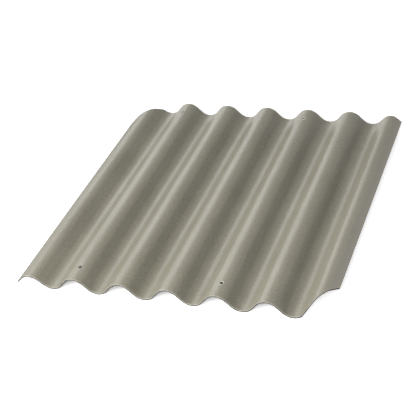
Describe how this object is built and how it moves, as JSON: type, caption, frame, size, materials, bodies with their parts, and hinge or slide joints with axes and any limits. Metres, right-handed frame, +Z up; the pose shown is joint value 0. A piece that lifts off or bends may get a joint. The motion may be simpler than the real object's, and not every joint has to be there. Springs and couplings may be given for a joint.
{
  "type": "corrugated fibre cement sheet",
  "caption": "Rounded corrugated fibre cement roofing sheet with opposite corners mitred and drilled fixing holes on its crests.",
  "frame": {"origin": "under the middle of the sheet, in the plane of the valley bottoms", "axes": "+X across the corrugations, +Y along the corrugations, +Z up out of the weather face"},
  "size_m": [1.148, 1.2, 0.057],
  "materials": {
    "fibre_cement": "satin"
  },
  "bodies": {
    "root": {"sheet": "fibre_cement"}
  },
  "joints": []
}
